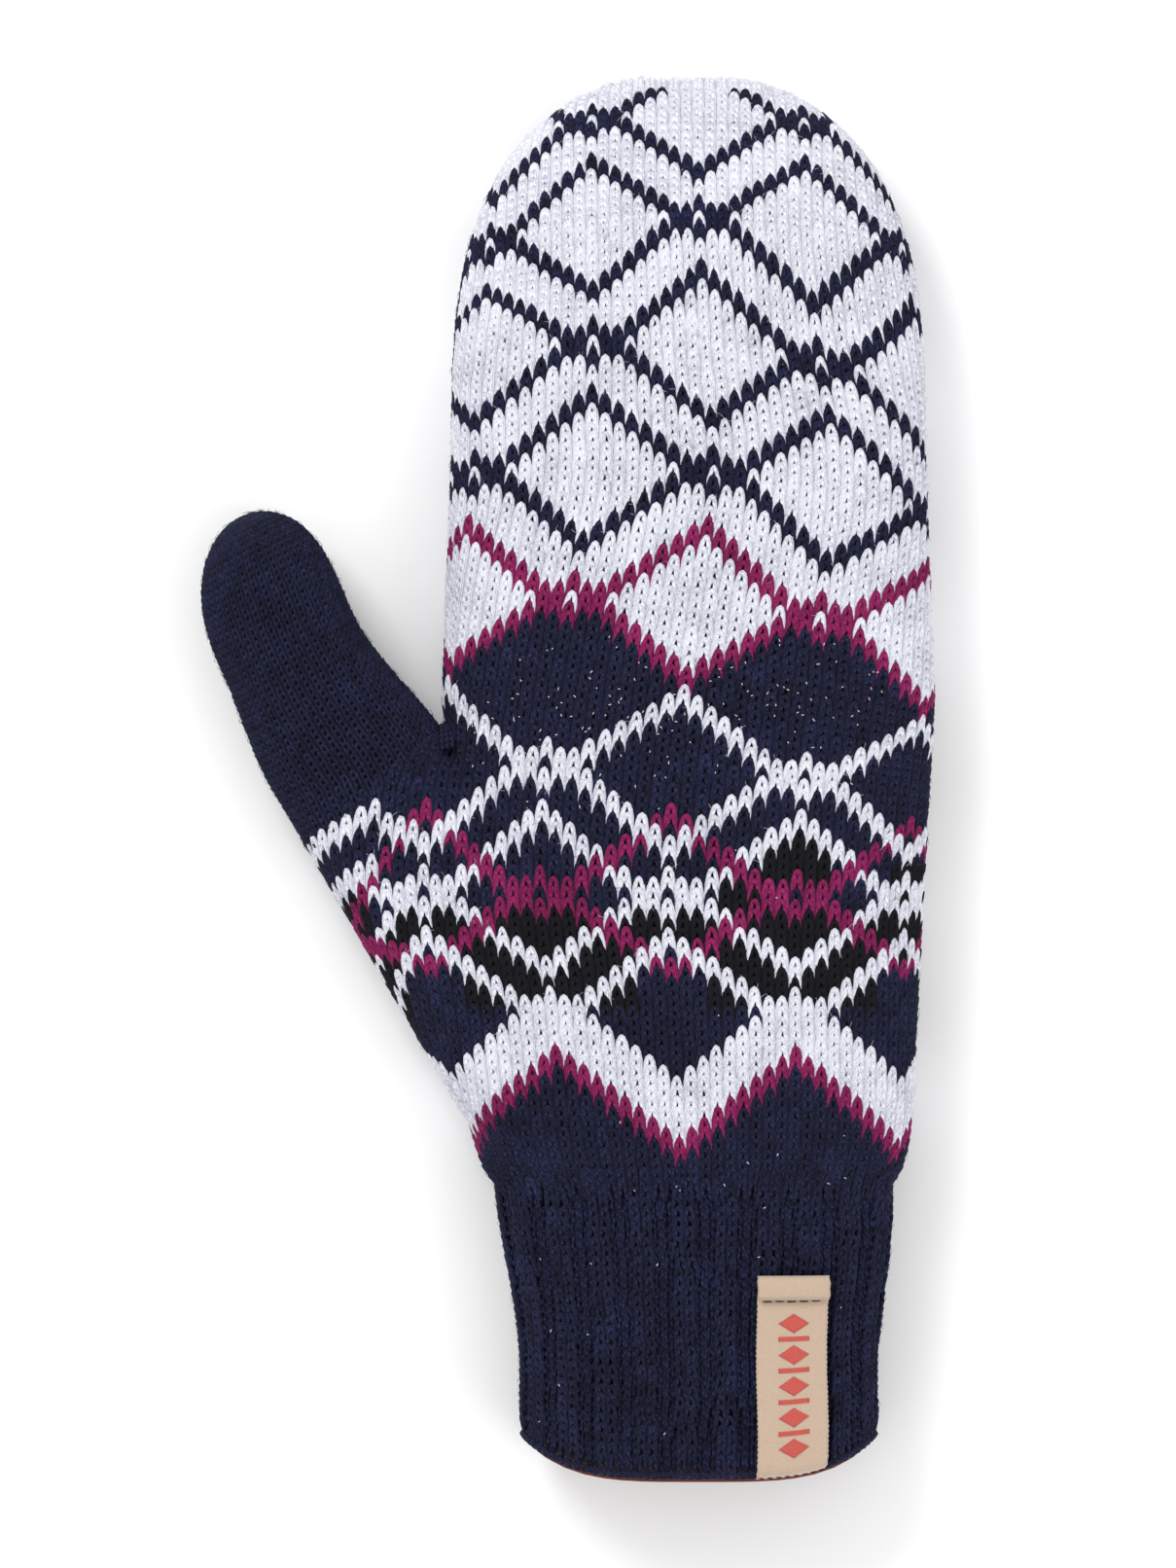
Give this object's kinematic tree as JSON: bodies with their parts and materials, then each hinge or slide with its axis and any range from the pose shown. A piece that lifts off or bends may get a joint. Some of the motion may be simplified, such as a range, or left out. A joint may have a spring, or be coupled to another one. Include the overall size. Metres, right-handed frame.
{
  "type": "knitted mitten",
  "caption": "Lined knitted mitten with a patterned hand, plain thumb, ribbed cuff and a woven hem label.",
  "frame": {"origin": "centre of the mitten's base, on the surface that its palm lies on", "axes": "+Y from the hem towards the fingertips, +Z out of the back of the hand, thumb on the -X side"},
  "size_m": [0.1418, 0.2726, 0.0305],
  "materials": {
    "yarn_white": "matte wool yarn",
    "yarn_navy": "matte wool yarn",
    "yarn_black": "matte wool yarn",
    "yarn_magenta": "matte wool yarn",
    "lining_fleece": "brushed fleece",
    "hem_band": "matte woven tape",
    "label_satin": "satin weave",
    "label_motif": "satin weave",
    "care_satin": "satin ribbon",
    "sewing_thread": "spun thread"
  },
  "bodies": {
    "hand": {"hand_knit": "yarn_white", "rib_cuff": "yarn_navy", "hand_lining": "lining_fleece", "lining_hem_band": "hem_band", "hand_lining_seam": "sewing_thread", "thumb_pickup_yarn": "yarn_white", "hem_thread": "sewing_thread", "woven_label": "label_satin", "label_thread": "sewing_thread", "care_label": "care_satin", "care_label_thread": "sewing_thread"},
    "fingers": {"finger_knit": "yarn_white", "finger_lining": "lining_fleece", "finger_lining_seam": "sewing_thread", "fingertip_linking_yarn": "yarn_white"},
    "thumb": {"thumb_knit": "yarn_navy", "thumb_lining": "lining_fleece", "thumb_lining_seam": "sewing_thread", "thumb_tip_yarn": "yarn_navy"}
  },
  "joints": [
    {"name": "finger_fold", "type": "hinge", "parent": "hand", "child": "fingers", "pos_m": [0.02327, 0.03826, 0.013], "axis": [-1, 0, 0], "range_deg": [-10, 70]},
    {"name": "thumb_swing", "type": "hinge", "parent": "hand", "child": "thumb", "pos_m": [-0.04453, 0.012, 0.013], "axis": [0, 0, 1], "range_deg": [-25, 30]}
  ]
}
